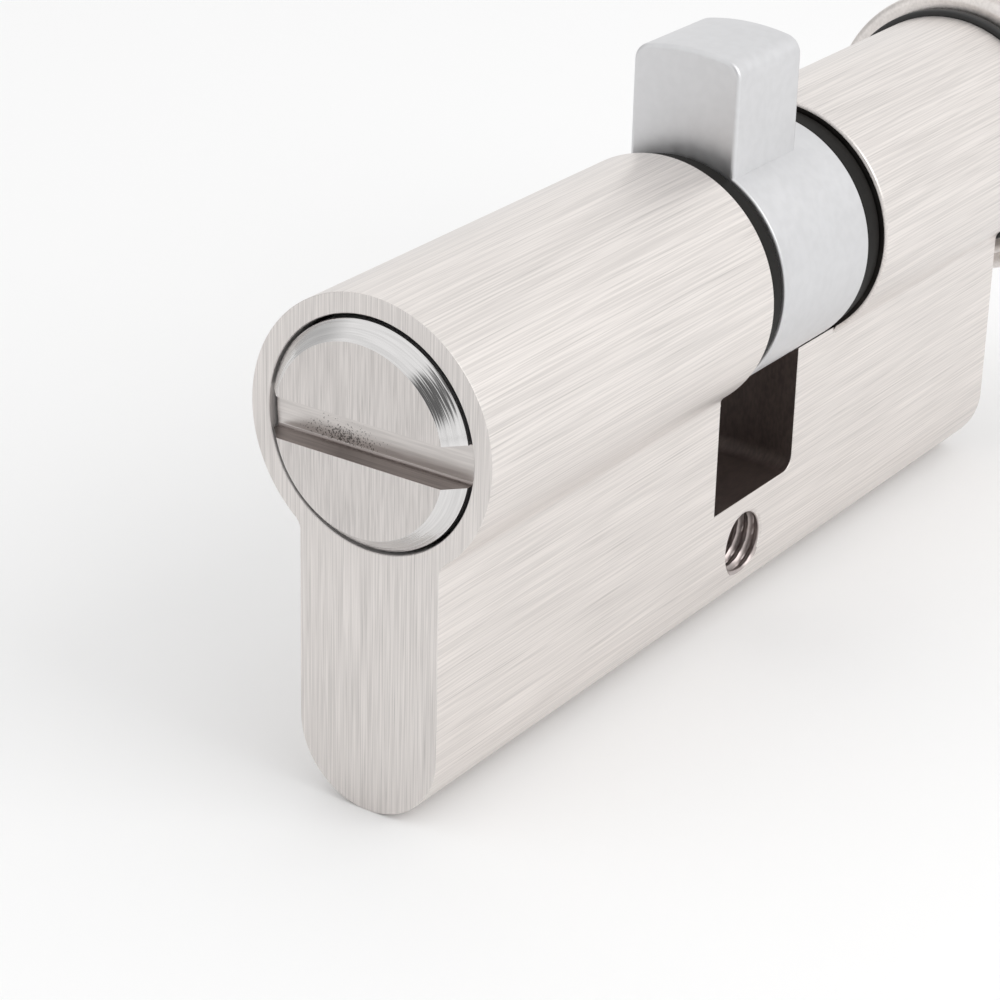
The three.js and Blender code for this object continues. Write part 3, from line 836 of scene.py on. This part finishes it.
# ------------------------------------------------------------------ thumbturn
def make_knob():
    """A round collar and a flat grip, bored for the neck and for the grub screw."""
    low, high = span("thumbturn_knob")
    collar_end = low.x + COLLAR_LENGTH
    neck_end = span("thumbturn_spindle")[1].x
    corners = [
        (low.x, 0, 0),
        (low.x, COLLAR_RADIUS, COLLAR_INNER_EDGE),
        (collar_end, COLLAR_RADIUS, COLLAR_OUTER_EDGE),
        (collar_end, 0, 0),
    ]
    knob = turned("thumbturn_grip", rounded(corners, steps=8))

    def grip_outline(inset):
        radius = GRIP_THICKNESS / 2 - inset
        centre = high.z - GRIP_THICKNESS / 2
        top = arc((0, centre), radius, 0, math.pi, 32)
        return top + arc((0, -centre), radius, math.pi, 2 * math.pi, 32)

    stations = ends(collar_end - GRIP_EDGE, high.x, GRIP_EDGE, GRIP_EDGE, 8)
    join(knob, along_x("grip", grip_outline, stations))
    hole = NECK_RADIUS + NECK_GAP
    start = low.x - PAST
    end = neck_end + NECK_END_GAP
    cut(knob, turned("neck_hole", [(start, 0), (start, hole), (end, hole), (end, 0)]))
    grub_low, grub_high = span("knob_grub_screw")
    centre = (grub_low.x + grub_high.x) / 2
    hole = (grub_high.y - grub_low.y) / 2 + GRUB_GAP
    start = -COLLAR_RADIUS - PAST
    outline = [(start, 0), (start, hole), (0, hole), (0, 0)]
    cut(knob, turned("grub_hole", outline, segments=SMALL_AROUND, upright=(centre, 0)))
    finish_piece(knob, "thumbturn_knob", "thumbturn", [KNOB_METAL])


def make_grub_screw():
    """A threaded pin with a hexagon socket, which opens downwards."""
    low, high = span("knob_grub_screw")
    outer = (high.y - low.y) / 2
    inner = outer - GRUB_THREAD_DEPTH
    centre = (low.x + high.x) / 2
    screw = thread("grub", 0, high.z - low.z, inner, outer, GRUB_PITCH, 0, 60)
    upright = Matrix.Translation((centre, 0, low.z)) @ Matrix.Rotation(math.pi / 2, 4, "X")
    screw.data.transform(upright)
    start = low.z - PAST
    end = low.z + HEXAGON_DEPTH
    outline = [(start, 0), (start, HEXAGON_RADIUS), (end, HEXAGON_RADIUS), (end, 0)]
    cut(screw, turned("hexagon", outline, segments=6, upright=(centre, 0)))
    finish_piece(screw, "knob_grub_screw", "thumbturn", [PLAIN_STEEL])


# ------------------------------------------------------------------ click stops
def make_spring(node, name):
    """A coil of round wire, wound a little closer at its ends and its middle."""
    low, high = span(node)
    radius = (high.y - low.y) / 2 - WIRE_RADIUS
    steps = COILS * 40
    sections = []
    for s in range(steps + 1):
        t = s / steps
        angle = 2 * math.pi * COILS * t
        rise = (t - math.sin(4 * math.pi * t) / 40) * (high.z - low.z - 2 * WIRE_RADIUS)
        out = Vector((math.cos(angle), math.sin(angle), 0))
        centre = Vector(((low.x + high.x) / 2, 0, low.z + WIRE_RADIUS + rise)) + out * radius
        ring = arc((0, 0), WIRE_RADIUS, 0, 2 * math.pi, 12)[:-1]
        sections.append([centre + out * a + Vector((0, 0, b)) for a, b in ring])
    finish_piece(loft(name, sections), node, "housing", [SPRING_STEEL])


def make_stop(stop, body):
    """A click stop: its ball, its spring and the cap that closes its chamber."""
    low, high = span(stop + "_ball")
    centre = (low + high) / 2
    ball = sphere(stop + "_steel_ball", centre, (high.z - low.z) / 2, SMALL_AROUND)
    finish_piece(ball, stop + "_ball", body, [BRIGHT_STEEL])
    make_spring(stop + "_spring", stop + "_coil")
    low, high = span(stop + "_cap")
    radius = (high.y - low.y) / 2
    corners = [
        (low.z + CAP_HOLLOW, 0, 0),
        (low.z, radius * 0.5, 0),
        (low.z, radius, CAP_EDGE),
        (high.z, radius, CAP_EDGE),
        (high.z, 0, 0),
    ]
    upright = ((low.x + high.x) / 2, 0)
    cap = turned(stop + "_plug", rounded(corners), segments=SMALL_AROUND, upright=upright)
    finish_piece(cap, stop + "_cap", "housing", [BRASS])


# ------------------------------------------------------------------ studio
def make_camera():
    """Makes the camera and gives the direction from its aim back to it."""
    data = bpy.data.cameras.new("camera")
    data.lens = CAMERA_LENS
    data.sensor_width = CAMERA_SENSOR
    data.clip_start = 0.01
    camera = bpy.data.objects.new("camera", data)
    bpy.context.scene.collection.objects.link(camera)
    place = Vector(CAMERA_PLACE) * MM
    back = (place - Vector(CAMERA_AIM) * MM).normalized()
    turn = back.to_track_quat("Z", "Y").to_matrix().to_4x4()
    roll = Matrix.Rotation(math.radians(CAMERA_ROLL), 4, "Z")
    camera.matrix_world = Matrix.Translation(place) @ turn @ roll
    bpy.context.scene.camera = camera
    return back


def make_floor():
    """A plain pale floor under the web."""
    sides = ((-1, -1), (1, -1), (1, 1), (-1, 1))
    corners = [(x * FLOOR_REACH, y * FLOOR_REACH, WEB_BOTTOM) for x, y in sides]
    floor = mesh_object("floor", corners, [[0, 1, 2, 3]])
    floor.data.transform(Matrix.Scale(MM, 4))
    material = bpy.data.materials.new("floor_paint")
    material.use_nodes = True
    shader = material.node_tree.nodes["Principled BSDF"]
    shader.inputs["Base Color"].default_value = (FLOOR_TONE, FLOOR_TONE, FLOOR_TONE, 1)
    shader.inputs["Roughness"].default_value = 0.9
    shader.inputs["Specular IOR Level"].default_value = 0.1
    floor.data.materials.append(material)


def make_world(back):
    """A white room with a dark place about the direction back and a dimmer wall behind the part."""
    patches = [(back, *DARK_PLACE), (Vector(DIM_WALL_TOWARDS).normalized(), *DIM_WALL)]
    world = bpy.data.worlds.new("room")
    bpy.context.scene.world = world
    world.use_nodes = True
    nodes = world.node_tree.nodes
    links = world.node_tree.links
    background = nodes["Background"]
    background.inputs["Color"].default_value = (1, 1, 1, 1)
    place = nodes.new("ShaderNodeTexCoord")
    room = nodes.new("ShaderNodeMath")
    room.operation = "MULTIPLY"
    for socket, (direction, inner, outer, level) in zip(room.inputs, patches):
        towards = nodes.new("ShaderNodeVectorMath")
        towards.operation = "DOT_PRODUCT"
        towards.inputs[1].default_value = direction
        patch = nodes.new("ShaderNodeMapRange")
        patch.interpolation_type = "SMOOTHSTEP"
        patch.inputs["From Min"].default_value = math.cos(math.radians(outer))
        patch.inputs["From Max"].default_value = math.cos(math.radians(inner))
        patch.inputs["To Min"].default_value = 1.0
        patch.inputs["To Max"].default_value = level
        links.new(place.outputs["Generated"], towards.inputs[0])
        links.new(towards.outputs["Value"], patch.inputs["Value"])
        links.new(patch.outputs["Result"], socket)
    path = nodes.new("ShaderNodeLightPath")
    seen = nodes.new("ShaderNodeMix")
    links.new(path.outputs["Is Camera Ray"], seen.inputs["Factor"])
    links.new(room.outputs["Value"], seen.inputs["A"])
    seen.inputs["B"].default_value = 1.0
    links.new(seen.outputs["Result"], background.inputs["Strength"])


def make_light(name, place, aim, size, power):
    """A round area light of this size in millimetres and power in watts."""
    data = bpy.data.lights.new(name, "AREA")
    data.shape = "DISK"
    data.size = size * MM
    data.energy = power
    light = bpy.data.objects.new(name, data)
    bpy.context.scene.collection.objects.link(light)
    light.location = Vector(place) * MM
    light.rotation_euler = (Vector(place) - Vector(aim)).to_track_quat("Z", "Y").to_euler()


back = make_camera()
make_body()
make_plug()
make_spindle()
make_cam()
make_circlip("coin_circlip", "coin_clip", "coin_plug")
make_circlip("thumbturn_circlip", "turn_clip", "thumbturn")
make_ring("coin_head_washer", "coin_bearing_ring", "housing", SHANK + WASHER_GAP, WASHER_EDGE)
make_ring("thumbturn_head_washer", "turn_bearing_ring", "housing", SHANK + WASHER_GAP, WASHER_EDGE)
make_ring("knob_washer", "knob_friction_ring", "thumbturn", NECK_RADIUS + WASHER_GAP, KNOB_WASHER_EDGE)
make_drive_bar()
make_knob()
make_grub_screw()
for number, stop in enumerate(COIN_STOPS, 1):
    make_stop(stop, f"coin_ball_{number}")
for number, stop in enumerate(TURN_STOPS, 1):
    make_stop(stop, f"thumbturn_ball_{number}")
make_floor()
make_world(back)
make_light("key", LIGHT_PLACE, (0, 0, 0), LIGHT_SIZE, LIGHT_POWER)

view = bpy.context.scene.view_settings
view.view_transform = "Standard"
